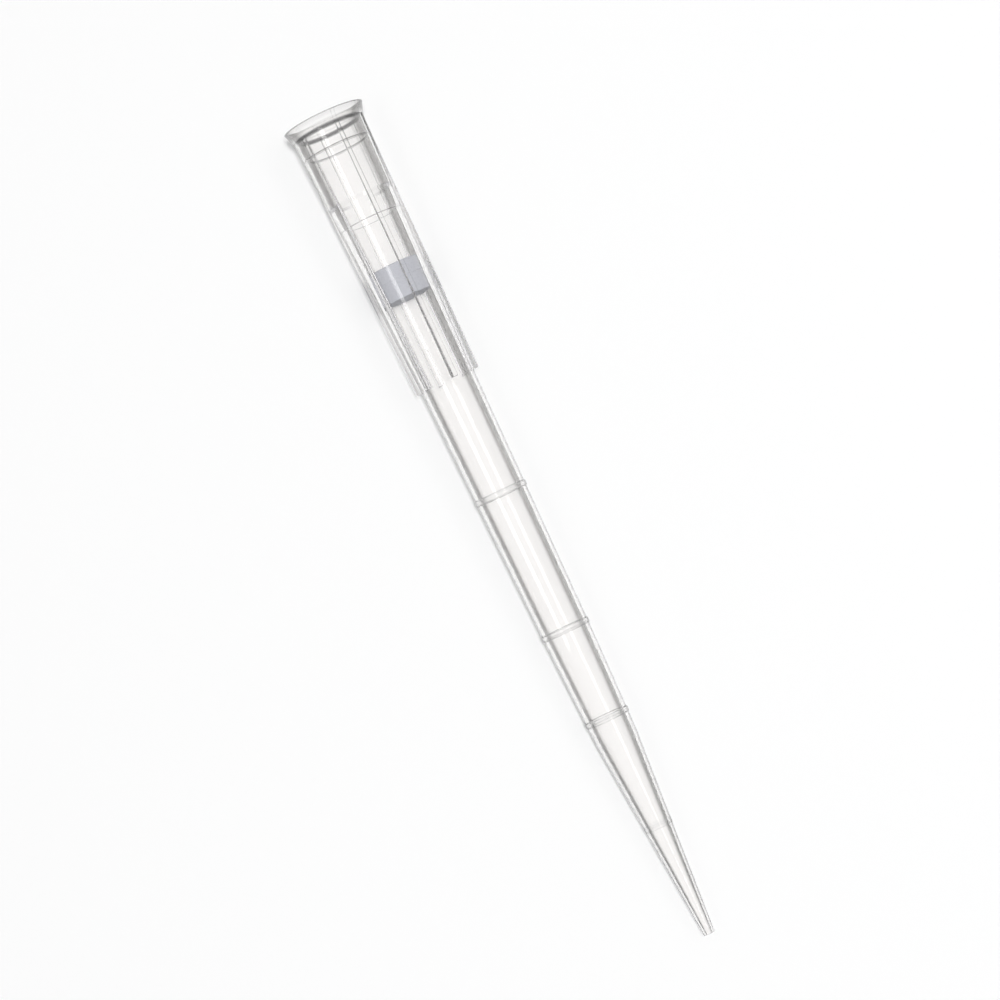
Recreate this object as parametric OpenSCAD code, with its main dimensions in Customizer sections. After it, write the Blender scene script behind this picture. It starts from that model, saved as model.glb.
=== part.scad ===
// A long filter pipette tip: a clear moulded tube with a flared rim, six outside ribs,
// raised level rings and a fine orifice, and a porous filter plug pressed into its bore.
// It is drawn upright, on the orifice, as turned outlines about its own axis.
// The last module lays it on its side, on the rim and one ring, as it comes to rest.
// Lengths are in millimetres. Heights are above the orifice, depths are below the rim.

/* [Overall] */
// Length from the rim's end face to the orifice
tip_length = 94; // [88:0.5:100]
// Roll of the lying tip about its own axis, which turns the first rib from straight up
rest_roll = 18.5; // [16:0.5:44]

/* [Rim and flare] */
// Outside diameter of the rim
rim_d = 8.96; // [8.9:0.01:9]
// Width of the rim's flat end face
rim_land = 0.25; // [0.18:0.01:0.32]
// Rounding of the rim's outer edge
rim_round = 0.06; // [0.03:0.01:0.1]
// Depth of the lip, where the flare gets steeper
lip_depth = 0.8; // [0.5:0.05:1]
// Outside diameter at the bottom of the lip
lip_end_d = 8.4; // [8.3:0.02:8.5]
// Depth of the shoulder under the flare
flare_depth = 1.3; // [1.2:0.05:1.6]
// Outside diameter of the shoulder, where the ribs begin
flare_end_d = 8.06; // [7.96:0.02:8.16]

/* [Outer wall and ribs] */
// Outside diameter of the wall just under the shoulder
wall_top_d = 7.9; // [7.84:0.02:7.94]
// Outside diameter of the wall at the lower end of the ribs
wall_end_d = 5.98; // [5.94:0.01:6.1]
// Number of ribs
rib_count = 6; // [4:1:8]
// Depth of the lower end of the ribs
rib_end_depth = 30.5; // [28:0.05:33]
// Depth at which the ribs' crests change slope
rib_bend_depth = 6.3; // [4:0.1:9]
// Diameter over the ribs at that change of slope
rib_bend_d = 7.82; // [7.76:0.02:7.9]
// Diameter over the ribs at their lower end
rib_end_d = 7.29; // [7.2:0.01:7.4]
// Width of a rib at its crest
rib_crest_w = 0.48; // [0.4:0.02:0.6]
// Draft of a rib's flanks, in degrees
rib_draft = 6; // [2:0.5:8]
// Rounding of the outer corner at a rib's lower end
rib_end_round = 0.25; // [0.1:0.05:0.4]

/* [Socket bore] */
// Depth of the funnel in the mouth
funnel_depth = 1.3; // [1:0.05:1.6]
// Bore diameter at the bottom of the funnel
funnel_end_d = 7.28; // [7.22:0.02:7.34]
// Length of the lead-in cone under the funnel
lead_length = 2.14; // [1.6:0.02:2.6]
// Bore diameter at the bottom of the lead-in cone
lead_end_d = 7.16; // [7.06:0.02:7.2]
// Length of the small steep cone between the lead-in and the guide
lead_step_length = 0.14; // [0.08:0.02:0.2]
// Diameter of the guide bore
guide_d = 6.86; // [6.8:0.01:6.9]
// Length of the guide bore
guide_length = 5.52; // [4.8:0.02:5.6]
// Length of the short cone between the guide and the sealing zone
seal_lead_length = 0.1; // [0.06:0.02:0.3]
// Diameter of the sealing zone
seal_d = 6.04; // [5.98:0.01:6.1]
// Length of the sealing zone, down to the stop shelf
seal_length = 2.56; // [2:0.02:2.8]

/* [Chamber bore] */
// Bore diameter just under the stop shelf
chamber_d = 5.8; // [5.74:0.01:5.86]
// Depth of the small step that holds the filter plug
step_depth = 18.7; // [17.6:0.05:19.6]
// Bore diameter just above that step
step_d = 5.44; // [5.4:0.01:5.48]
// Width of the step
step_w = 0.03; // [0.02:0.005:0.05]

/* [Barrel and lower cone] */
// Outside diameter of the barrel just under the ribs
barrel_d = 5.92; // [5.84:0.01:5.94]
// Outside diameter of the barrel at the second ring
waist_d = 5.14; // [5.04:0.01:5.24]
// Height of the knee, where the steep lower cone begins
knee_height = 22.4; // [20:0.1:23.5]
// Outside diameter at the knee
knee_d = 4.52; // [4.4:0.01:4.6]
// Wall of the barrel
barrel_wall = 0.4; // [0.34:0.01:0.46]
// Outside diameter at the orifice
nose_d = 1.2; // [1.1:0.01:1.3]
// Diameter of the orifice
orifice_d = 0.72; // [0.6:0.01:0.8]

/* [Level rings] */
// Height of the first ring, under the ribs
ring_1_height = 50.6; // [46:0.05:54]
// Height of the second ring
ring_2_height = 34.9; // [32:0.05:38]
// Height of the third ring, just above the knee
ring_3_height = 24.8; // [24.4:0.05:28]
// Height of the shallow band on the lower cone
band_height = 12.45; // [9:0.05:16]
// Width of a ring and of the band
ring_w = 0.6; // [0.5:0.05:0.8]
// How far a ring stands out of the barrel
ring_proud = 0.1; // [0.06:0.01:0.14]
// How far the band stands out of the cone
band_proud = 0.03; // [0.02:0.005:0.05]
// Slope of a ring's sides, measured along the barrel
ring_chamfer = 0.05; // [0.02:0.01:0.1]

/* [Filter plug] */
// Depth of the plug's upper face
plug_depth = 17.1; // [15:0.05:17.4]
// Length of the plug
plug_length = 3.7; // [3:0.05:5]
// Broken edge at both ends of the plug
plug_edge = 0.08; // [0.04:0.01:0.14]

/* [Hidden] */
$fn = 96;

// Heights of what is given as a depth below the rim
flare_height = tip_length - flare_depth;
rib_end_height = tip_length - rib_end_depth;
rib_bend_height = tip_length - rib_bend_depth;
lead_end_height = tip_length - funnel_depth - lead_length;
guide_height = lead_end_height - lead_step_length;
seal_height = guide_height - guide_length - seal_lead_length;
shelf_height = seal_height - seal_length;
step_height = tip_length - step_depth;
plug_top = tip_length - plug_depth;
plug_end = plug_top - plug_length;

// Outside of the barrel and of the lower cone: radius at each height, up to the ribs
barrel = [
    [0, nose_d / 2],
    [knee_height, knee_d / 2],
    [ring_2_height, waist_d / 2],
    [rib_end_height, barrel_d / 2],
];

// Bore from the stop shelf down: its radius just above and just below the small step,
// then a constant wall along the barrel, and a wall that thins towards the orifice
chamber_upper = [[step_height, step_d / 2], [shelf_height, chamber_d / 2]];
chamber_lower = [
    [0, orifice_d / 2],
    [knee_height, knee_d / 2 - barrel_wall],
    [ring_2_height, waist_d / 2 - barrel_wall],
    [rib_end_height, barrel_d / 2 - barrel_wall],
    [step_height, step_d / 2 - step_w],
];

// The tip lies on the rounded edge of its rim and on the lower corner of the third ring.
// The floor is the common tangent of the two, and the axis rises towards the rim.
rest_ring_r = lookup(ring_3_height, barrel) + ring_proud;
rest_ring_height = ring_3_height - ring_w / 2 + ring_chamfer;
rest_rise = rim_d / 2 - rim_round - rest_ring_r;
rest_run = tip_length - rim_round - rest_ring_height;
rest_tilt = atan2(rest_rise, rest_run) + asin(rim_round / norm([rest_rise, rest_run]));

// Places of the orifice, so that the box of the lying tip stands on its centre
rest_x = (tip_length * cos(rest_tilt) + (rim_d - nose_d) / 2 * sin(rest_tilt)) / 2;
rest_z = rest_ring_r * cos(rest_tilt) - rest_ring_height * sin(rest_tilt);

// Turns [height, radius] pairs into [radius, height] points
function points(pairs) = [for (pair = pairs) [pair[1], pair[0]]];

// Points of an arc about a centre, from one angle to another
function arc(centre, r, from, to, steps = 4) =
    [for (i = [0 : steps]) let (a = from + (to - from) * i / steps)
        centre + r * [cos(a), sin(a)]];

// Outline of the outside, from the orifice up to the rim's end face
function outside() = concat(
    points(barrel),
    [
        [wall_end_d / 2, rib_end_height],
        [wall_top_d / 2, flare_height],
        [flare_end_d / 2, flare_height],
        [lip_end_d / 2, tip_length - lip_depth],
    ],
    arc([rim_d / 2 - rim_round, tip_length - rim_round], rim_round, 0, 90)
);

// Outline of the bore, from the rim's end face down to the orifice
function bore() = concat(
    [
        [rim_d / 2 - rim_land, tip_length],
        [funnel_end_d / 2, tip_length - funnel_depth],
        [lead_end_d / 2, lead_end_height],
        [guide_d / 2, guide_height],
        [guide_d / 2, guide_height - guide_length],
        [seal_d / 2, seal_height],
        [seal_d / 2, shelf_height],
        [chamber_d / 2, shelf_height],
        [step_d / 2, step_height],
    ],
    points([for (i = [len(chamber_lower) - 1 : -1 : 0]) chamber_lower[i]])
);

// Section of a ring that stands out of the barrel at a height
module ring_section(height, proud) {
    r = lookup(height, barrel);
    root = r - barrel_wall / 3;
    polygon([
        [root, height - ring_w / 2],
        [lookup(height - ring_w / 2, barrel), height - ring_w / 2],
        [r + proud, height - ring_w / 2 + ring_chamfer],
        [r + proud, height + ring_w / 2 - ring_chamfer],
        [lookup(height + ring_w / 2, barrel), height + ring_w / 2],
        [root, height + ring_w / 2],
    ]);
}

// The turned tube with its rings
module tube() {
    rotate_extrude() {
        polygon(concat(outside(), bore()));
        for (height = [ring_1_height, ring_2_height, ring_3_height])
            ring_section(height, ring_proud);
        ring_section(band_height, band_proud);
    }
}

// The turned envelope of the ribs: from inside the wall out to their crests
module rib_envelope() {
    root_lower = barrel_d / 2 - barrel_wall / 4;
    root_upper = wall_top_d / 2 - barrel_wall / 4;
    corner = [rib_end_d / 2 - rib_end_round, rib_end_height + rib_end_round];
    rotate_extrude()
        polygon(concat(
            [[root_lower, rib_end_height]],
            arc(corner, rib_end_round, -90, 0),
            [
                [rib_bend_d / 2, rib_bend_height],
                [flare_end_d / 2, flare_height],
                [root_upper, flare_height],
            ]
        ));
}

// One rib's wedge section, run up the whole tip
module rib_blade() {
    crest_r = flare_end_d / 2;
    root_r = barrel_d / 2 - barrel_wall;
    root_w = rib_crest_w + 2 * (crest_r - root_r) * tan(rib_draft);
    linear_extrude(height = tip_length)
        polygon([
            [root_r, -root_w / 2],
            [crest_r, -rib_crest_w / 2],
            [crest_r, rib_crest_w / 2],
            [root_r, root_w / 2],
        ]);
}

// All the ribs, spaced evenly round the wall
module ribs() {
    intersection() {
        rib_envelope();
        for (i = [0 : rib_count - 1])
            rotate(i * 360 / rib_count) rib_blade();
    }
}

// Lays an upright piece on its side, with the rim towards -X, rolled about its own axis
module lying() {
    translate([rest_x, 0, rest_z])
        rotate([0, rest_tilt - 90, 0])
            rotate(rest_roll)
                children();
}

// The moulded tip: clear polypropylene, in one piece
module tip_body() {
    color("aliceblue", 0.4) lying() {
        tube();
        ribs();
    }
}

// The filter: porous polyethylene, squeezed to the shape of the bore that holds it
module filter_plug() {
    top_r = lookup(plug_top, chamber_upper);
    end_r = lookup(plug_end, chamber_lower);
    color("lightsteelblue") lying()
        rotate_extrude()
            polygon([
                [0, plug_end],
                [end_r - plug_edge, plug_end],
                [lookup(plug_end + plug_edge, chamber_lower), plug_end + plug_edge],
                [step_d / 2 - step_w, step_height],
                [step_d / 2, step_height],
                [lookup(plug_top - plug_edge, chamber_upper), plug_top - plug_edge],
                [top_r - plug_edge, plug_top],
                [0, plug_top],
            ]);
}

tip_body();
filter_plug();
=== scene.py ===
# %% [markdown]
# # A filter pipette tip on a white sheet
#
# The object is a long 1000 microlitre tip: one clear polypropylene moulding with a flared
# rim, six outside ribs, three level rings and a fine orifice, and a small porous plug that
# is pressed into its bore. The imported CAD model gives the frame. This script dresses it:
# each piece is worked out again as a fine, exactly smooth surface, because clear plastic
# shows every facet, and then it gets its material, a floor, soft light and a camera.

import bpy
import numpy as np
from mathutils import Matrix, Vector


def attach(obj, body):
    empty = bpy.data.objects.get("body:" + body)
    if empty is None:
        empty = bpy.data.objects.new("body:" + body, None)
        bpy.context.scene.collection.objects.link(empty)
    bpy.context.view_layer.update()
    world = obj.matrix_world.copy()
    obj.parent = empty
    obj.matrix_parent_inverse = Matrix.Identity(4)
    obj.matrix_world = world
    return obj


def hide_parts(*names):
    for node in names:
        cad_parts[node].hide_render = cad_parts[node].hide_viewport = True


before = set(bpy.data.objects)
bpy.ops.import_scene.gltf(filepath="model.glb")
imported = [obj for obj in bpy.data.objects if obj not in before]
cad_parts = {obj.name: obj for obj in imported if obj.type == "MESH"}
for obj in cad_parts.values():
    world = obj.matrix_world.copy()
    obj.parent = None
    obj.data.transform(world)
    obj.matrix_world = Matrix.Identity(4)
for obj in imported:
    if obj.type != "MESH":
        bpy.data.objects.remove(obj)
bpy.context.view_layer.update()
MM = 0.001

# %% [markdown]
# ## How the tip lies
#
# A tip that is put down rests on two places: the edge of its flared rim and the lowest ring
# that still stands out far enough. Its axis then rises a little towards the rim. The roll
# about the axis is the CAD model's, because two round contacts don't settle it. Working in
# the tip's own upright frame is simplest, with heights above the orifice, so one function
# carries upright points to where they lie. The same two contacts give the lean.

# %% Sizes that place the tip, and the move from upright to lying
TIP_LENGTH = 94.0
RIM_R = 4.48
RIM_ROUND = 0.06
NOSE_R = 0.6
KNEE = (22.4, 2.26)
WAIST = (34.9, 2.57)
RIB_END_HEIGHT = 63.5
BARREL_TOP_R = 2.96
RING_HEIGHTS = (50.6, 34.9, 24.8)
RING_WIDTH = 0.6
RING_PROUD = 0.1
RING_SLOPE = 0.05
FIRST_RIB_ROLL = 18.5


def barrel_radius(height):
    """Radius of the slim part of the tip: straight lines between orifice, knee, waist and ribs."""
    stations = (0, KNEE[0], WAIST[0], RIB_END_HEIGHT)
    return np.interp(height, stations, (NOSE_R, KNEE[1], WAIST[1], BARREL_TOP_R))


contact_r = barrel_radius(RING_HEIGHTS[2]) + RING_PROUD
contact_height = RING_HEIGHTS[2] - RING_WIDTH / 2 + RING_SLOPE
rise = RIM_R - RIM_ROUND - contact_r
run = TIP_LENGTH - RIM_ROUND - contact_height
LEAN = np.arctan2(rise, run) + np.arcsin(RIM_ROUND / np.hypot(rise, run))
AXIS = np.array([-np.cos(LEAN), 0.0, np.sin(LEAN)])
UP = np.array([np.sin(LEAN), 0.0, np.cos(LEAN)])
SIDE = np.array([0.0, 1.0, 0.0])
ORIFICE = np.array([
    (TIP_LENGTH * np.cos(LEAN) + (RIM_R - NOSE_R) * np.sin(LEAN)) / 2,
    0.0,
    contact_r * np.cos(LEAN) - contact_height * np.sin(LEAN),
])


def laid(height, up, side):
    """Orifice + height along the axis + up and side across it: upright mm to lying metres."""
    parts = (np.asarray(v)[..., None] for v in np.broadcast_arrays(height, up, side))
    height, up, side = parts
    return (ORIFICE + height * AXIS + up * UP + side * SIDE) * MM


print("lean of the axis, degrees:", round(float(np.degrees(LEAN)), 3))

# %% [markdown]
# ## The moulded body as one skin
#
# The body is a closed skin over a grid of rows and columns. A row is one cross-section, and
# a column runs from the orifice up the outside, over the rim and back down the bore. Most
# rows are circles. Where the ribs are, a row is the outline of the wall with six ribs, each
# with a crest, drafted flanks, a small fillet at its root and rounded corners at its crest.
#
# A boolean of ribs and a tube would be quicker to write, but it leaves long thin triangles
# whose shading shows through clear plastic. On a grid every face lies along the form.

# %% The outline that is turned, with rounded corners
SMALL_ROUND = 0.035
LONGEST_ROW = 3.0


def rounded(corners, steps=4):
    """Rounds each inner corner. A row is a height, a radius and the strength of its painted shade
    line.

    A corner is (height, radius) or (height, radius, reach, line). The curve starts and ends
    `reach` away from it. With a and b those two ends and c the corner, the curve is
    (1-s)^2 a + 2 s (1-s) c + s^2 b, so it leaves both straight runs along their own line.
    The third value rises to `line` in the middle of the curve, as line * 4 s (1-s).
    """
    full = np.array([(*c, *(SMALL_ROUND, 0.0)[len(c) - 2:]) for c in corners])
    places = full[:, :2]
    s = np.linspace(0, 1, steps + 1)[:, None]
    out = [np.append(places[0], 0.0)[None]]
    for before, corner, after, (reach, line) in zip(places, places[1:], places[2:], full[1:, 2:]):
        back, on = before - corner, after - corner
        far_back, far_on = np.linalg.norm(back), np.linalg.norm(on)
        cut = min(reach, far_back / 2.5, far_on / 2.5)
        a, b = corner + back / far_back * cut, corner + on / far_on * cut
        curve = (1 - s) ** 2 * a + 2 * s * (1 - s) * corner + s**2 * b
        out.append(np.concatenate([curve, line * 4 * s * (1 - s)], axis=1))
    return np.concatenate([*out, np.append(places[-1], 0.0)[None]])


def with_rows(points, longest=LONGEST_ROW):
    """Splits each straight run into equal lengths no longer than `longest`."""
    steps = np.ceil(np.linalg.norm(np.diff(points[:, :2], axis=0), axis=1) / longest)
    out = [
        a + (b - a) * np.linspace(0, 1, int(n), endpoint=False)[:, None]
        for a, b, n in zip(points, points[1:], np.maximum(steps, 1))
    ]
    return np.concatenate([*out, points[-1:]])


# %% Outside of the barrel with its level rings
BAND_HEIGHT = 12.45
BAND_PROUD = 0.03
# RING_LINE is the strength of the painted shade line along each ring's rounded corners.
RING_LINE = 0.3


def ring_corners(height, proud):
    """The four corners of a ring that stands `proud` of the barrel, with sloping sides."""
    low, high = height - RING_WIDTH / 2, height + RING_WIDTH / 2
    top_r = barrel_radius(height) + proud
    return [
        (low, barrel_radius(low), SMALL_ROUND, RING_LINE),
        (low + RING_SLOPE, top_r, SMALL_ROUND, RING_LINE),
        (high - RING_SLOPE, top_r, SMALL_ROUND, RING_LINE),
        (high, barrel_radius(high), SMALL_ROUND, RING_LINE),
    ]


barrel_outline = with_rows(rounded([
    (0, NOSE_R),
    *ring_corners(BAND_HEIGHT, BAND_PROUD),
    KNEE,
    *ring_corners(RING_HEIGHTS[2], RING_PROUD),
    *ring_corners(RING_HEIGHTS[1], RING_PROUD),
    *ring_corners(RING_HEIGHTS[0], RING_PROUD),
    (RIB_END_HEIGHT, BARREL_TOP_R),
]))
print("rows on the barrel:", len(barrel_outline))

# %% Flare, rim and bore
SHOULDER = (92.7, 4.03)
SHOULDER_HEIGHT, SHOULDER_R = SHOULDER
LIP_END = (93.2, 4.2)
# LIP_LINE and RIM_LINE are strengths of painted shade lines along the lip and the rim's round.
LIP_REACH, LIP_LINE = 0.14, 0.25
RIM_REACH, RIM_LINE = 2.5, 0.4
RIM_LAND = 0.25
FUNNEL_END = (92.7, 3.64)
LEAD_END = (90.56, 3.58)
GUIDE_TOP = (90.42, 3.49)
GUIDE_END = (84.9, 3.38)
SEAL_TOP = (84.45, 3.14)
SHELF = (82.24, 3.02)
CHAMBER_TOP = (82.24, 2.9)
STEP_HEIGHT = 75.3
STEP_R = 2.72
STEP_WIDTH = 0.03
BARREL_WALL = 0.4
ORIFICE_R = 0.36

quarter_way = tuple(np.array(SHOULDER) * 0.75 + np.array(LIP_END) * 0.25)
flare_outline = rounded([
    SHOULDER,
    quarter_way,
    (*LIP_END, LIP_REACH, LIP_LINE),
    (TIP_LENGTH - RIM_ROUND, RIM_R),
])
rim_curve = rounded([
    (TIP_LENGTH - RIM_ROUND, RIM_R),
    (TIP_LENGTH, RIM_R, RIM_REACH * RIM_ROUND, RIM_LINE),
    (TIP_LENGTH, RIM_R - RIM_ROUND),
])
# The fourth value at a bore corner is the strength of the painted shade line drawn along it.
bore_outline = with_rows(rounded([
    (TIP_LENGTH, RIM_R - RIM_ROUND),
    (TIP_LENGTH, RIM_R - RIM_LAND),
    (*FUNNEL_END, 0.35, 1.2),
    (*LEAD_END, 0.08, 1.3),
    (*GUIDE_TOP, 0.08, 0.7),
    (*GUIDE_END, 0.08, 0.0),
    (*SEAL_TOP, 0.08, 0.0),
    (*SHELF, 0.1, 0.8),
    (*CHAMBER_TOP, 0.1, 0.8),
    (STEP_HEIGHT, STEP_R),
    (STEP_HEIGHT, STEP_R - STEP_WIDTH),
    (RIB_END_HEIGHT, BARREL_TOP_R - BARREL_WALL),
    (WAIST[0], WAIST[1] - BARREL_WALL),
    (KNEE[0], KNEE[1] - BARREL_WALL),
    (0, ORIFICE_R),
    (0, NOSE_R),
]))[1:-1]
upper_outline = np.concatenate([flare_outline, rim_curve[1:], bore_outline])
print("rows over the rim and down the bore:", len(upper_outline))

# %% The ribbed rows
RIBS = 6
RIB_CREST_HALF = 0.19
RIB_DRAFT = np.radians(8)
RIB_END_R = 3.645
RIB_END_ROUND = 0.25
RIB_BEND = (87.7, 3.91)
WALL_END_R = 2.99
WALL_TOP_R = 3.95
ROOT_FILLET = 0.08
CREST_ROUND = 0.06
LAST_ROW = SHOULDER_HEIGHT - 0.15

end_turn = np.linspace(0, np.pi / 2, 7)
end_heights = RIB_END_HEIGHT + RIB_END_ROUND * (1 - np.cos(end_turn))
end_crests = RIB_END_R - RIB_END_ROUND * (1 - np.sin(end_turn))
straight = with_rows(np.array([
    (end_heights[-1], RIB_END_R),
    RIB_BEND,
    (LAST_ROW, np.interp(LAST_ROW, *zip(RIB_BEND, SHOULDER))),
    SHOULDER,
]))[1:]
row_heights = np.concatenate([end_heights, straight[:, 0]])
crest_r = np.concatenate([end_crests, straight[:, 1]])
wall_r = np.interp(row_heights, (RIB_END_HEIGHT, SHOULDER_HEIGHT), (WALL_END_R, WALL_TOP_R))


def half_rib(wall, crest):
    """Half a rib and half the wall beside it, for every row at once: points and directions.

    A flank is a straight line that leans by the draft angle, so at distance x from the axis
    it is RIB_CREST_HALF + (SHOULDER_R - x) tan(draft) off the rib's middle. Its two corners
    are quadratic curves. The crest and the wall are arcs about the tip's axis, so there the
    direction is square to the radius.
    """
    wall, crest = wall[:, None], crest[:, None]
    quarter = np.array([[0.0, 1.0], [-1.0, 0.0]])

    def on_circle(radius, angle):
        return np.stack([radius * np.cos(angle), radius * np.sin(angle)], axis=-1)

    def flank_angle(radius):
        return np.arcsin((RIB_CREST_HALF + (SHOULDER_R - radius) * np.tan(RIB_DRAFT)) / radius)

    def curve(a, corner, b, steps):
        s = np.linspace(0, 1, steps + 1)[:, None]
        points = (1 - s) ** 2 * a + 2 * s * (1 - s) * corner + s**2 * b
        return points, (1 - s) * (corner - a) + s * (b - corner)

    root, top = on_circle(wall, flank_angle(wall)), on_circle(crest, flank_angle(crest))
    down = (root - top) / np.linalg.norm(root - top, axis=-1, keepdims=True)
    crest_end = flank_angle(crest) - CREST_ROUND / crest
    crest_part = on_circle(crest, crest_end * np.linspace(0, 1, 4))
    crest_curve, crest_way = curve(crest_part[:, -1:], top, top + down * CREST_ROUND, 3)
    wall_start = flank_angle(wall) + ROOT_FILLET / wall
    root_curve, root_way = curve(root - down * ROOT_FILLET, root, on_circle(wall, wall_start), 4)
    flank = (crest_curve[:, -1:] + root_curve[:, :1]) / 2
    gap = wall_start + (np.pi / RIBS - wall_start) * np.linspace(0, 1, 16)[1:]
    wall_part = on_circle(wall, gap)
    points = (crest_part, crest_curve[:, 1:], flank, root_curve, wall_part)
    ways = (crest_part @ quarter, crest_way[:, 1:], down, root_way, wall_part @ quarter)
    on_flank = np.repeat((0.0, 1.0, 1.0, 1.0, 0.0), [part.shape[1] for part in points])
    return np.concatenate(points, axis=1), np.concatenate(ways, axis=1), on_flank


half, half_way, half_on_flank = half_rib(wall_r, crest_r)
on_flank = np.concatenate([half_on_flank[-2:0:-1], half_on_flank])
sector = np.concatenate([half[:, -2:0:-1] * (1, -1), half], axis=1)
sector_way = np.concatenate([half_way[:, -2:0:-1] * (-1, 1), half_way], axis=1)
turns = np.radians(FIRST_RIB_ROLL) + np.arange(RIBS) * 2 * np.pi / RIBS


def all_ribs(xy):
    """Repeats one sector's points or directions round the axis: angles of all the columns."""
    angle = np.arctan2(xy[..., 1], xy[..., 0])
    return (turns[None, :, None] + angle[:, None, :]).reshape(len(xy), -1)


ribbed_radius = np.tile(np.linalg.norm(sector, axis=-1), RIBS)
ribbed_angle, ribbed_way = all_ribs(sector), all_ribs(sector_way)
print("ribbed rows:", len(half), "columns:", ribbed_radius.shape[1])

# %% All rows in one closed grid
low_angle, high_angle = ribbed_angle[0], ribbed_angle[-1]
share = np.clip(upper_outline[:, :1] / SHOULDER_HEIGHT, 0, 1)
upper_angle = low_angle + (high_angle - low_angle) * share
columns = len(low_angle)
heights = np.concatenate([barrel_outline[:, 0], row_heights, upper_outline[:, 0]])
radii = np.concatenate([
    np.repeat(barrel_outline[:, 1:2], columns, axis=1),
    ribbed_radius,
    np.repeat(upper_outline[:, 1:2], columns, axis=1),
])
angles = np.concatenate([
    np.repeat(low_angle[None], len(barrel_outline), axis=0), ribbed_angle, upper_angle,
])
ways = angles + np.pi / 2
ways[len(barrel_outline):len(barrel_outline) + len(half)] = ribbed_way
body_grid = laid(heights[:, None], radii * np.cos(angles), radii * np.sin(angles))
body_across = np.cos(ways)[..., None] * UP + np.sin(ways)[..., None] * SIDE
print("body grid:", body_grid.shape)

# %% [markdown]
# ## From a grid to a mesh whose shading is exact
#
# Smooth shading normally averages the faces round a point, so a broad face beside a tiny
# rounding gets a bent normal, and clear plastic turns that into a false streak. Here the
# direction across the columns is known exactly from the formulas, and the direction along
# a column is that of the face's own edge, eased into its neighbour's where the two nearly
# agree. The weight is the fourth power of the length, so a long straight run keeps its own
# direction right up to the rounding. The normal is square to both directions.

# %% Grid to mesh
SHARP = np.cos(np.radians(38))


def corner_normals(grid, across):
    """A normal for each corner of each face: the across direction times the along direction.

    The along direction at a row is the face's own edge plus, if it turns by less than the
    sharp limit, the edge on the row's other side, each times its length to the fourth power.
    """
    edge = np.roll(grid, -1, axis=0) - grid
    length = np.linalg.norm(edge, axis=-1, keepdims=True)
    unit = edge / np.maximum(length, 1e-12)
    heavy = unit * (length / MM) ** 4
    before, after = np.roll(unit, 1, axis=0), np.roll(unit, -1, axis=0)
    at_start = heavy + np.roll(heavy, 1, axis=0) * ((before * unit).sum(-1, keepdims=True) > SHARP)
    at_end = heavy + np.roll(heavy, -1, axis=0) * ((after * unit).sum(-1, keepdims=True) > SHARP)
    start, end = np.cross(across, at_start), np.cross(np.roll(across, -1, axis=0), at_end)
    four = [start, np.roll(start, -1, axis=1), np.roll(end, -1, axis=1), end]
    normals = np.stack(four, axis=2)
    return normals / np.maximum(np.linalg.norm(normals, axis=-1, keepdims=True), 1e-30)


def skin(name, grid, across, **values):
    """Makes a mesh object from a closed grid of points, (rows, columns, 3).

    Faces join neighbours in both directions, and both directions close. Points that meet
    become one, faces that shrink to a line go, and faces that lose a corner are triangles.
    Each of `values` has a number for each row, or for each row and column, and is kept on
    the points by its name.
    """
    index = np.arange(grid.shape[0] * grid.shape[1]).reshape(grid.shape[:2])
    ahead = np.roll(index, -1, axis=0)
    quads = np.stack([index, np.roll(index, -1, axis=1), np.roll(ahead, -1, axis=1), ahead], -1)
    quads = quads.reshape(-1, 4)
    normals = corner_normals(grid, across).reshape(-1, 4, 3)
    keys = np.round(grid.reshape(-1, 3) / (1e-4 * MM)).astype(np.int64)
    _, first, same = np.unique(keys, axis=0, return_index=True, return_inverse=True)
    quads = same.reshape(-1)[quads]
    keep = quads != np.roll(quads, 1, axis=1)
    keep &= ~((quads == np.roll(quads, 2, axis=1)) & (np.arange(4) > 1))
    whole = keep.sum(axis=1) >= 3
    quads, normals, keep = quads[whole], normals[whole], keep[whole]
    sizes = keep.sum(axis=1)
    corners, corner_vectors = quads[keep], normals[keep]
    mesh = bpy.data.meshes.new(name)
    mesh.vertices.add(len(first))
    mesh.vertices.foreach_set("co", grid.reshape(-1, 3)[first].astype(np.float32).ravel())
    mesh.loops.add(len(corners))
    mesh.loops.foreach_set("vertex_index", corners.astype(np.int32))
    mesh.polygons.add(len(sizes))
    mesh.polygons.foreach_set("loop_start", (np.cumsum(sizes) - sizes).astype(np.int32))
    mesh.update(calc_edges=True)
    mesh.polygons.foreach_set("use_smooth", np.ones(len(sizes), bool))
    for value_name, of_rows in values.items():
        attribute = mesh.attributes.new(value_name, "FLOAT", "POINT")
        of_grid = np.broadcast_to(of_rows.reshape(len(of_rows), -1), grid.shape[:2])
        of_points = of_grid.reshape(-1)[first]
        attribute.data.foreach_set("value", of_points.astype(np.float32))
    changed = mesh.validate(verbose=True)
    if not changed:
        mesh.normals_split_custom_set(corner_vectors.astype(np.float32))
    piece = bpy.data.objects.new(name, mesh)
    bpy.context.scene.collection.objects.link(piece)
    print(name, "faces:", len(sizes), "points:", len(first), "repaired:", changed)
    return piece


# %% Make the body
# SHOULDER_LINE is the strength of a painted shade line where the ribs meet the flare.
SHOULDER_LINE = 0.35
# The next two values paint shade over the outside of the flare and rim: how dark, and from which
# height.
RIM_PAINTED_SHADE = 0.3
RIM_SHADE_FROM = LIP_END[0] + 0.15
# The broad lines are painted shade: wider dark lines drawn into the wall's colour.
NOSE_TO, NARROW_FROM = 5, 28  # heights between which the broad lines of the nose fade

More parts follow.
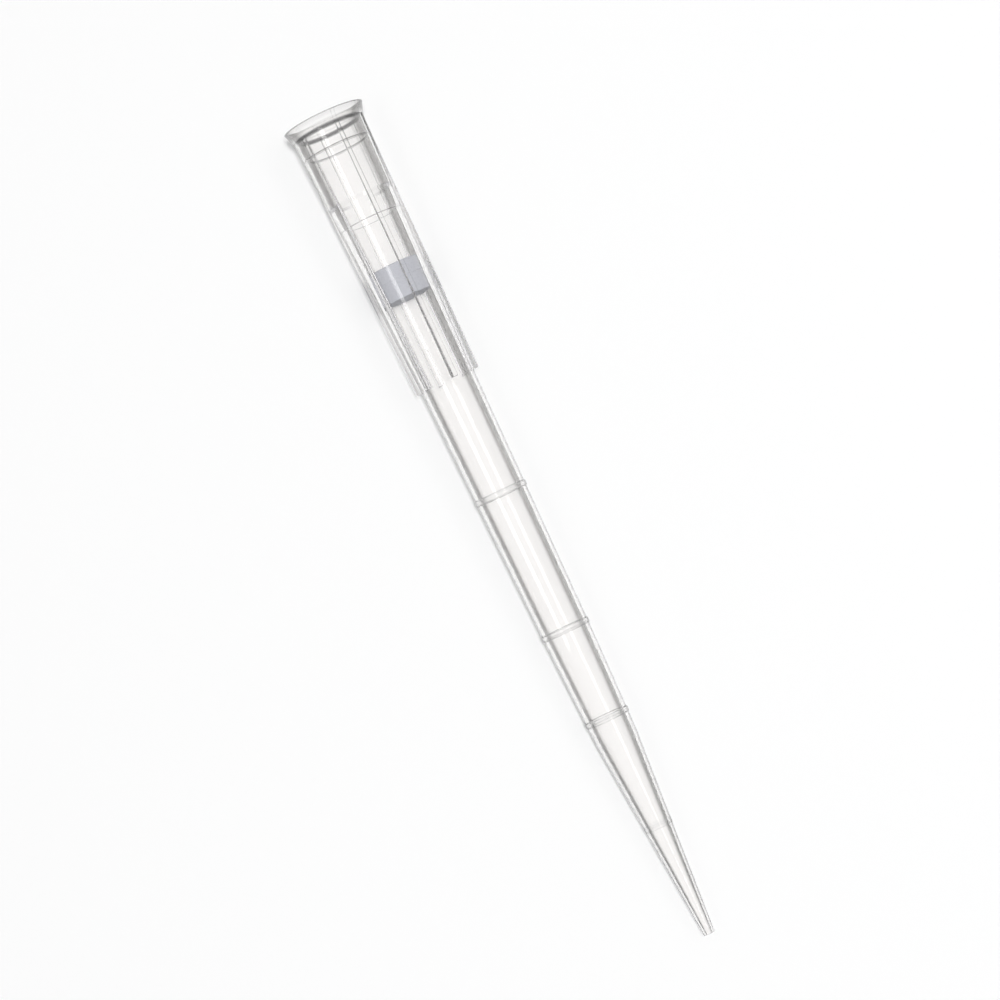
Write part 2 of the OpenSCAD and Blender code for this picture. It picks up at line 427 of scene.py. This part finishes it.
row = np.arange(len(heights))
frosted_rows = np.zeros(len(heights))
for ring_height in (*RING_HEIGHTS, BAND_HEIGHT):
    near = np.abs(heights - ring_height) <= RING_WIDTH / 2 + 1e-6
    frosted_rows[near & (row < len(barrel_outline))] = 1.0
inner_rows = (row >= len(heights) - len(bore_outline)).astype(float)
# Each row's painted shade line strength: taken from the rounded corners, none on the ribbed rows.
shade_line_rows = np.concatenate([barrel_outline[:, 2], np.zeros(len(half)), upper_outline[:, 2]])
ribbed_rows = slice(len(barrel_outline), len(barrel_outline) + len(half))
shade_line_rows[ribbed_rows.stop - 1:ribbed_rows.stop + 1] = SHOULDER_LINE
# The outside rows of the flare and rim get at least that much painted shade.
rim_shaded = (heights > RIM_SHADE_FROM) & (inner_rows == 0)
shade_line_rows[rim_shaded] = np.maximum(shade_line_rows[rim_shaded], RIM_PAINTED_SHADE)
# broad: where the painted shade lines are drawn broad, at the nose and on the flare's outside.
broad_at = (NOSE_TO, NARROW_FROM, SHOULDER_HEIGHT, LIP_END[0])
broad = np.interp(heights, broad_at, (1.0, 0.0, 0.0, 1.0))
broad[(heights > SHOULDER_HEIGHT) & (inner_rows == 1)] = 0.0
# Rib flanks get painted shade in the material, darker as they turn away from the eye.
flanks = np.zeros(body_grid.shape[:2])
flanks[ribbed_rows] = np.tile(on_flank, RIBS)
moulded_tip = skin(
    "moulded_tip", body_grid, body_across,
    frost=frosted_rows, bore=inner_rows, edge=shade_line_rows, flank=flanks, broad=broad,
)

# %% [markdown]
# ## The filter plug
#
# The plug is sintered: small beads of polyethylene are heated until they stick together.
# It is a short cylinder that takes the taper of the bore, with a tiny broken edge. It only
# touches the wall at its beads, so a hair of air is left all round it, which is also what
# keeps it from looking glued to the clear wall.

# %% Make the plug
PLUG_TOP = 76.9
PLUG_END = 73.2
PLUG_EDGE = 0.08
PLUG_ROWS, CAP_ROWS, PLUG_COLUMNS = 24, 12, 144
AIR_GAP = 0.015
BEAD = 0.12


def bore_radius(height):
    """Radius of the bore round the plug, on either side of the small step."""
    above = np.interp(height, (STEP_HEIGHT, CHAMBER_TOP[0]), (STEP_R, CHAMBER_TOP[1]))
    lower = (BARREL_TOP_R - BARREL_WALL, STEP_R - STEP_WIDTH)
    below = np.interp(height, (RIB_END_HEIGHT, STEP_HEIGHT), lower)
    return np.where(height >= STEP_HEIGHT, above, below) - AIR_GAP


plug_side = np.linspace(PLUG_END + PLUG_EDGE, PLUG_TOP - PLUG_EDGE, PLUG_ROWS)
plug_cap = np.linspace(0, 1, CAP_ROWS)
end_r = bore_radius(PLUG_END) - PLUG_EDGE
top_r = bore_radius(PLUG_TOP) - PLUG_EDGE
plug_heights = np.concatenate([plug_cap * 0 + PLUG_END, plug_side, plug_cap * 0 + PLUG_TOP])
plug_radii = np.concatenate([plug_cap * end_r, bore_radius(plug_side), plug_cap[::-1] * top_r])
plug_turn = np.linspace(0, 2 * np.pi, PLUG_COLUMNS, endpoint=False)
plug_grid = laid(
    plug_heights[:, None],
    plug_radii[:, None] * np.cos(plug_turn),
    plug_radii[:, None] * np.sin(plug_turn),
)
plug_across = np.cos(plug_turn)[:, None] * SIDE - np.sin(plug_turn)[:, None] * UP
plug_across = np.broadcast_to(plug_across, plug_grid.shape)
filter_disc = skin("sintered_plug", plug_grid, plug_across)

# %% [markdown]
# ## Materials
#
# Colours are picked as sRGB hex values, as in any paint program, and turned to linear ones
# by one function. One more function adds a node with its settings and links.

# %% Helpers for materials


def linear(hex_colour):
    """sRGB hex to linear RGBA: ((v + 0.055) / 1.055) ^ 2.4, or v / 12.92 when dark."""
    v = np.array([int(hex_colour[i:i + 2], 16) for i in (1, 3, 5)]) / 255
    rgb = np.where(v > 0.04045, ((v + 0.055) / 1.055) ** 2.4, v / 12.92)
    return (*rgb.tolist(), 1.0)


def node(tree, kind, settings=(), **inputs):
    """Adds a node, sets its properties, and fills or links its inputs by name."""
    made = tree.nodes.new(kind)
    for key, value in dict(settings).items():
        setattr(made, key, value)
    for key, value in inputs.items():
        socket = made.inputs[key.replace("_", " ")]
        if isinstance(value, bpy.types.NodeSocket):
            tree.links.new(value, socket)
        else:
            socket.default_value = value
    return made


def empty_material(name):
    material = bpy.data.materials.new(name)
    material.use_nodes = True
    material.node_tree.nodes.clear()
    return material, material.node_tree


# %% Moulded polypropylene
POLYPROPYLENE_IOR = 1.49
CLEAR_WALL = "#fcfbfa"
# The near-black colour that the painted shade lines are drawn towards.
PAINTED_SHADE = "#050506"
HAZE_ROUGHNESS = 0.04
HAZE_SCALE = 900.0  # per metre, so the haze is mottled at about 1.1 mm
FROST_ROUGHNESS = 0.22
# Each fade paints shade into the wall's colour: where the painted shade starts, where it ends,
# and how much of the clear colour is left: 0 faces the eye and 1 is edge-on. A thick one is
# for the nose and the flare. LAMP_FADE is not paint: it is how much lamp light the outside lets
# through.
OUTSIDE_FADE, THICK_OUTSIDE_FADE = (0.55, 0.93, 0.1), (0.3, 0.75, 0.1)
BORE_FADE, THICK_BORE_FADE = (0.2, 0.56, 0.18), (0.1, 0.45, 0.1)
FLANK_FADE = (0.14, 0.27, 0.18)
LAMP_FADE = (0.38, 0.75, 0.0)
# How much clear colour is left in the painted shade lines on marked rows.
PAINTED_EDGE_CLEAR = 0.04


def fading(tree, value, start, stop, low):
    """1 up to `start`, then a soft step down to `low` at `stop`."""
    return node(
        tree, "ShaderNodeMapRange", {"interpolation_type": "SMOOTHSTEP"},
        Value=value, From_Min=start, From_Max=stop, To_Min=1.0, To_Max=low,
    ).outputs["Result"]


def blend(tree, factor, a, b):
    """One number that goes from a to b with the factor."""
    mix = node(tree, "ShaderNodeMix", {"data_type": "FLOAT"}, Factor=factor, A=a, B=b)
    return mix.outputs["Result"]


def lets_lamps_through(tree, surface, wall_colour):
    """Gives lamps and the floor's own light a straight way through, tinted by the wall.

    A real clear tip throws almost no shadow, only thin dark edges, and bent rays alone
    would leave it as dark as a solid one. So this stands in for traced refraction."""
    ray = node(tree, "ShaderNodeLightPath")
    unbent = node(tree, "ShaderNodeMath", {"operation": "MAXIMUM"})
    tree.links.new(ray.outputs["Is Shadow Ray"], unbent.inputs[0])
    tree.links.new(ray.outputs["Is Diffuse Ray"], unbent.inputs[1])
    straight = node(tree, "ShaderNodeBsdfTransparent", Color=wall_colour)
    mixed = node(tree, "ShaderNodeMixShader", Fac=unbent.outputs["Value"])
    tree.links.new(surface, mixed.inputs[1])
    tree.links.new(straight.outputs["BSDF"], mixed.inputs[2])
    node(tree, "ShaderNodeOutputMaterial", Surface=mixed.outputs["Shader"])


def moulded_polypropylene():
    """Clear polypropylene, injection moulded: a polished wall with a trace of haze. Both sides
    of the bore, the rib flanks and all the crisp edges get soft grey lines of painted shade:
    the wall's colour is drawn towards near black where the surface turns edge-on to the eye
    and along the marked rows. Where the wall is thick against its width, at the nose and in
    the flare, these painted lines grow broader. The level rings are etched, which blurs
    them. Only the outside takes light from the lamps, so the shade isn't counted twice."""
    material, tree = empty_material("polypropylene moulded clear")
    place = node(tree, "ShaderNodeTexCoord").outputs["Object"]
    frost, bore, edge, flank, broad = (
        node(tree, "ShaderNodeAttribute", {"attribute_name": name}).outputs["Fac"]
        for name in ("frost", "bore", "edge", "flank", "broad")
    )
    haze = node(tree, "ShaderNodeTexNoise", Vector=place, Scale=HAZE_SCALE, Detail=3.0)
    smooth = node(
        tree, "ShaderNodeMapRange", Value=haze.outputs["Fac"], To_Min=0.0, To_Max=HAZE_ROUGHNESS,
    ).outputs["Result"]
    rough = blend(tree, frost, smooth, FROST_ROUGHNESS)
    facing = node(tree, "ShaderNodeLayerWeight", Blend=0.5).outputs["Facing"]
    outside = blend(
        tree, broad,
        fading(tree, facing, *OUTSIDE_FADE), fading(tree, facing, *THICK_OUTSIDE_FADE),
    )
    inside = blend(
        tree, broad, fading(tree, facing, *BORE_FADE), fading(tree, facing, *THICK_BORE_FADE),
    )
    # kept is the share of the clear colour that is left. The rest is painted shade.
    kept = blend(tree, bore, outside, inside)
    kept = blend(tree, flank, kept, fading(tree, facing, *FLANK_FADE))
    kept = blend(tree, edge, kept, PAINTED_EDGE_CLEAR)
    # The painted shade: clear colour towards near black, by view angle and by the marked rows.
    tint = node(tree, "ShaderNodeMix", {"data_type": "RGBA"}, Factor=kept)
    tint.inputs["A"].default_value = linear(PAINTED_SHADE)
    tint.inputs["B"].default_value = linear(CLEAR_WALL)
    shader = node(
        tree, "ShaderNodeBsdfPrincipled", Base_Color=tint.outputs["Result"],
        Roughness=rough, IOR=POLYPROPYLENE_IOR, Transmission_Weight=1.0,
    )
    shade = blend(tree, bore, fading(tree, facing, *LAMP_FADE), 1.0)
    lets_lamps_through(tree, shader.outputs["BSDF"], shade)
    return material


# %% Sintered polyethylene
BEAD_MIDDLE, BEAD_EDGE = "#c6c8cf", "#aeb0b9"
PLUG_SHADE = "#cdcdd0"


def sintered_polyethylene():
    """Porous polyethylene, sintered from beads: matt, white with a cool cast, finely grained."""
    material, tree = empty_material("polyethylene sintered porous")
    place = node(tree, "ShaderNodeTexCoord").outputs["Object"]
    beads = node(tree, "ShaderNodeTexVoronoi", Vector=place, Scale=1 / (BEAD * MM))
    shade = node(
        tree, "ShaderNodeMix", {"data_type": "RGBA"}, Factor=beads.outputs["Distance"],
    )
    shade.inputs["A"].default_value = linear(BEAD_MIDDLE)
    shade.inputs["B"].default_value = linear(BEAD_EDGE)
    relief = node(
        tree, "ShaderNodeBump", {"invert": True},
        Height=beads.outputs["Distance"], Strength=0.5, Distance=BEAD * MM / 4,
    )
    shader = node(
        tree, "ShaderNodeBsdfPrincipled",
        Base_Color=shade.outputs["Result"], Roughness=0.85, Normal=relief.outputs["Normal"],
    )
    lets_lamps_through(tree, shader.outputs["BSDF"], linear(PLUG_SHADE))
    return material


# %% Dress the pieces
moulded_tip.data.materials.append(moulded_polypropylene())
filter_disc.data.materials.append(sintered_polyethylene())
for piece, stands_for, slot_name in (
    (moulded_tip, "tip_body", "clear_polypropylene"),
    (filter_disc, "filter_plug", "porous_polyethylene"),
):
    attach(piece, "root")
    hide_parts(stands_for)

# %% [markdown]
# ## Floor, light and camera

# %% Floor
FLOOR_HALF = 1.5
PAPER_WHITE = "#fbfbfb"


def plain_floor():
    """A flat white sheet at height zero, which the tip lies on."""
    mesh = bpy.data.meshes.new("floor")
    h = FLOOR_HALF
    mesh.from_pydata([(-h, -h, 0), (h, -h, 0), (h, h, 0), (-h, h, 0)], [], [(0, 1, 2, 3)])
    floor = bpy.data.objects.new("floor", mesh)
    bpy.context.scene.collection.objects.link(floor)
    material, tree = empty_material("paper matt white")
    shader = node(tree, "ShaderNodeBsdfDiffuse", Color=linear(PAPER_WHITE))
    node(tree, "ShaderNodeOutputMaterial", Surface=shader.outputs["BSDF"])
    mesh.materials.append(material)


plain_floor()

# %% Light
TENT_WHITE = "#fcfcff"


def soft_box(name, place, size, power, mirrored=True, aim=(0, 0, 0)):
    """A square area light at `place`, in metres, turned to `aim`.

    One that isn't mirrored lights the sheet but leaves no streak on the clear wall. A real
    lamp does so only through crossed polarising films, so it is a shortcut for the look."""
    data = bpy.data.lights.new(name, "AREA")
    data.shape = "SQUARE"
    data.size = size
    data.energy = power
    lamp = bpy.data.objects.new(name, data)
    lamp.location = place
    back = Vector(place) - Vector(aim)
    lamp.rotation_mode = "QUATERNION"
    lamp.rotation_quaternion = back.to_track_quat("Z", "Y")
    lamp.visible_glossy = lamp.visible_transmission = mirrored
    bpy.context.scene.collection.objects.link(lamp)


soft_box("key", (0.03, 0.115, 1.2), 0.17, 9.4, mirrored=False)
soft_box("side", (0.03, 0.5, 1.1), 0.5, 2.6, mirrored=False)
soft_box("ceiling", (0.0, 0.0, 1.2), 2.4, 5.7, mirrored=False)
soft_box("small", (0.0, -0.44, 1.2), 0.3, 0.9)


def white_tent(base, top, toward, inner, outer):
    """A white tent all round, `base` bright, with a soft glow to `top` round one direction.

    The glow is full within `inner` degrees of that direction and gone past `outer`. The
    sheet takes no light from it, only the plastic shows it."""
    world = bpy.data.worlds.new("white tent")
    bpy.context.scene.world = world
    world.use_nodes = True
    world.cycles_visibility.diffuse = False
    tree = world.node_tree
    tree.nodes.clear()
    way = node(tree, "ShaderNodeTexCoord").outputs["Generated"]
    near = node(tree, "ShaderNodeVectorMath", {"operation": "DOT_PRODUCT"})
    tree.links.new(way, near.inputs[0])
    near.inputs[1].default_value = Vector(toward).normalized()
    strength = node(
        tree, "ShaderNodeMapRange", {"interpolation_type": "SMOOTHSTEP"},
        Value=near.outputs["Value"], From_Min=np.cos(np.radians(outer)),
        From_Max=np.cos(np.radians(inner)), To_Min=base, To_Max=top,
    )
    sky = node(
        tree, "ShaderNodeBackground",
        Color=linear(TENT_WHITE), Strength=strength.outputs["Result"],
    )
    node(tree, "ShaderNodeOutputWorld", Surface=sky.outputs["Background"])


white_tent(base=0.75, top=1.15, toward=(0.0, -0.25, 1.2), inner=20, outer=120)

# %% Camera
CAMERA_DISTANCE = 335.0
CAMERA_LENS = 115.66
AIM_HEIGHT = 50.02
AIM_SIDE = -0.38
LEAN_TO_TIP = 1.2
ROUND_THE_AXIS = 2.2
PICTURE_TURN = 25.35
BOUNCES = 32


def studio_camera():
    """Looks down on the tip. The view is square to its axis but for two small turns."""
    along, over = np.radians(LEAN_TO_TIP), np.radians(ROUND_THE_AXIS)
    aim = laid(AIM_HEIGHT, 0.0, AIM_SIDE)
    back = -np.sin(along) * AXIS + np.cos(along) * (np.sin(over) * SIDE + np.cos(over) * UP)
    down_tip = -AXIS + back * (AXIS @ back)
    down_tip /= np.linalg.norm(down_tip)
    across = np.cross(back, down_tip)
    turn = np.radians(PICTURE_TURN)
    right = np.sin(turn) * down_tip + np.cos(turn) * across
    up = np.cross(back, right)
    data = bpy.data.cameras.new("camera")
    data.lens = CAMERA_LENS
    data.clip_start, data.clip_end = 0.01, 10.0
    camera = bpy.data.objects.new("camera", data)
    facing = Matrix([right, up, back]).transposed().to_4x4()
    camera.matrix_world = Matrix.Translation(aim + CAMERA_DISTANCE * MM * back) @ facing
    bpy.context.scene.collection.objects.link(camera)
    bpy.context.scene.camera = camera


studio_camera()
scene = bpy.context.scene
scene.view_settings.view_transform = "Standard"
scene.cycles.use_denoising = True
for kind in ("max", "transmission", "glossy"):
    setattr(scene.cycles, kind + "_bounces", BOUNCES)
scene.cycles.transparent_max_bounces = BOUNCES
